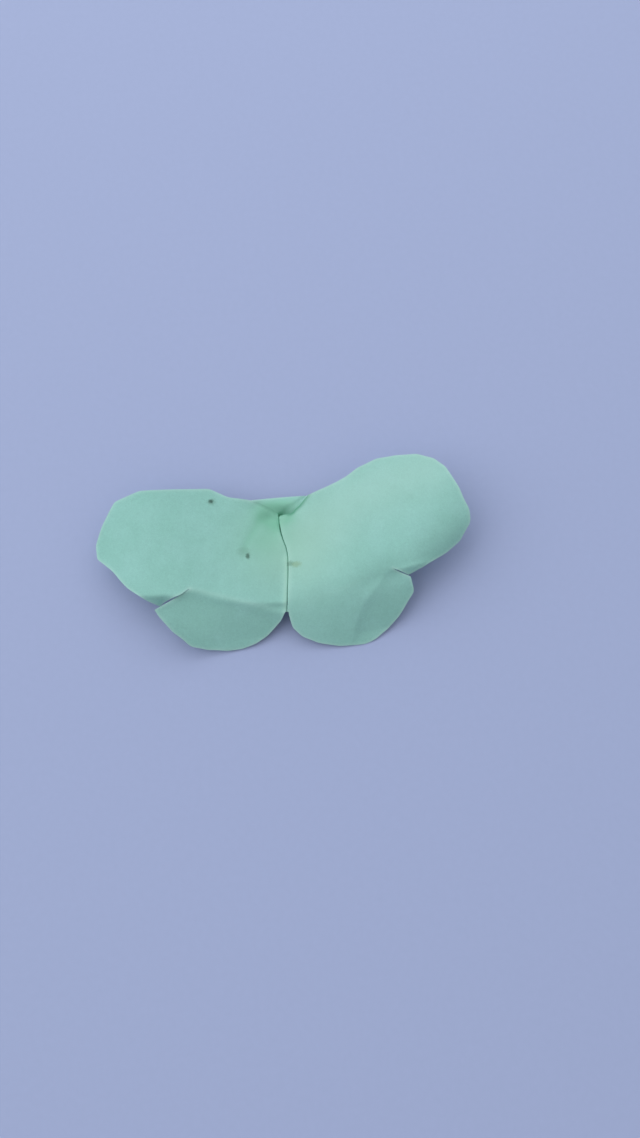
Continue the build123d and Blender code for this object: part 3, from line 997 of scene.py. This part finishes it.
# %% Set the table
reach = 1.5
floor_mesh = bpy.data.meshes.new("table_top")
floor_mesh.from_pydata([(-reach, -reach, 0), (reach, -reach, 0), (reach, reach, 0), (-reach, reach, 0)], [],
                       [(0, 1, 2, 3)])
floor = bpy.data.objects.new("table_top", floor_mesh)
bpy.context.scene.collection.objects.link(floor)
floor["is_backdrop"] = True
top = bpy.data.materials.new("lavender_table")
top.use_nodes = True
tree = top.node_tree
shader = tree.nodes["Principled BSDF"]
shader.inputs["Roughness"].default_value = 0.8
shader.inputs["Specular IOR Level"].default_value = 0.2
where = add(tree, "ShaderNodeTexCoord", (-900, 0))
haze = add(tree, "ShaderNodeTexNoise", (-700, 0), {"Scale": 900, "Detail": 6})
soft = add(tree, "ShaderNodeMix", (-350, 0),
           {first_colour: colour(161, 173, 209), second_colour: colour(165, 177, 213)}, data_type="RGBA")
tree.links.new(where.outputs["Object"], haze.inputs["Vector"])
tree.links.new(haze.outputs["Fac"], soft.inputs["Factor"])
tree.links.new(soft.outputs[mixed], shader.inputs["Base Color"])
floor_mesh.materials.append(top)
print("table width in metres", 2 * reach)

# %% [markdown]
# ## Window, lamp and room
# A large soft window stands to the left and a small lamp on the head side. The pale room all round is
# brighter on the head side too, so the hindwings, which face away from all three, are a shade darker and
# the shadows stay soft.

# %% Light the table
room = bpy.data.worlds.new("pale_room")
bpy.context.scene.world = room
room.use_nodes = True
tree = room.node_tree
glow = tree.nodes["Background"]
glow.inputs["Color"].default_value = (0.95, 0.97, 1.0, 1.0)
tail_side, head_side = 0.32, 0.88
facing = add(tree, "ShaderNodeTexCoord", (-800, 0))
parts = add(tree, "ShaderNodeSeparateXYZ", (-600, 0))
slope = add(tree, "ShaderNodeMapRange", (-400, 0),
            {"From Min": -1.0, "To Min": tail_side, "To Max": head_side})
tree.links.new(facing.outputs["Generated"], parts.inputs["Vector"])
tree.links.new(parts.outputs["Y"], slope.inputs["Value"])
tree.links.new(slope.outputs["Result"], glow.inputs["Strength"])
for name, size, energy, spot in (("window", (1.70, 1.30), 7.4, (-0.69, 0.28, 0.67)),
                                 ("head_lamp", (0.40, 0.20), 0.25, (0.05, 0.30, 0.26))):
    light = bpy.data.lights.new(name, "AREA")
    light.shape = "RECTANGLE"
    light.size, light.size_y = size
    light.energy = energy
    lamp = bpy.data.objects.new(name, light)
    bpy.context.scene.collection.objects.link(lamp)
    lamp.location = spot
    lamp.rotation_euler = (Vector((0, 0, 0)) - lamp.location).to_track_quat("-Z", "Y").to_euler()
    print(name, "distance in metres", round(lamp.location.length, 3))

# %% [markdown]
# ## The picture's view
# The camera looks almost straight down, as the picture does, from a little towards the tail and turned by
# a few degrees, so a render can be laid beside the picture and compared.

# %% Point the camera
lens = bpy.data.cameras.new("picture_camera")
lens.sensor_width = 36
lens.lens = 28.31
lens.clip_start = 0.005
camera = bpy.data.objects.new("picture_camera", lens)
bpy.context.scene.collection.objects.link(camera)
eye = Vector((4.28, -34.48, 153.57)) / 1000
aim = Vector((6.35, -1.91, 0.0)) / 1000
back = (eye - aim).normalized()
across = Vector((0.998, -0.0637, 0.0))
across = (across - across.dot(back) * back).normalized()
turn = Matrix((across, back.cross(across), back)).transposed().to_4x4()
camera.matrix_world = Matrix.Translation(eye) @ turn
bpy.context.scene.camera = camera
bpy.context.scene.view_settings.view_transform = "Standard"
print("camera height in metres", round(eye.z, 3))

# %% [markdown]
# ## Put the sheet on the frame
# The finished sheet stands for the solid one, rides with its body and takes the paper finish. The two boxes
# are written side by side to show that the sheet kept its size.

# %% Hand over the sheet
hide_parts("folded_sheet")
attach(sheet, "root")
bpy.context.view_layer.update()
sheet_box = [list(corner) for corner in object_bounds()]
for axis, a, b in zip("xyz", zip(*solid_box), zip(*sheet_box)):
    print(axis, "solid", [round(c * 1000, 2) for c in a], "dressed", [round(c * 1000, 2) for c in b])
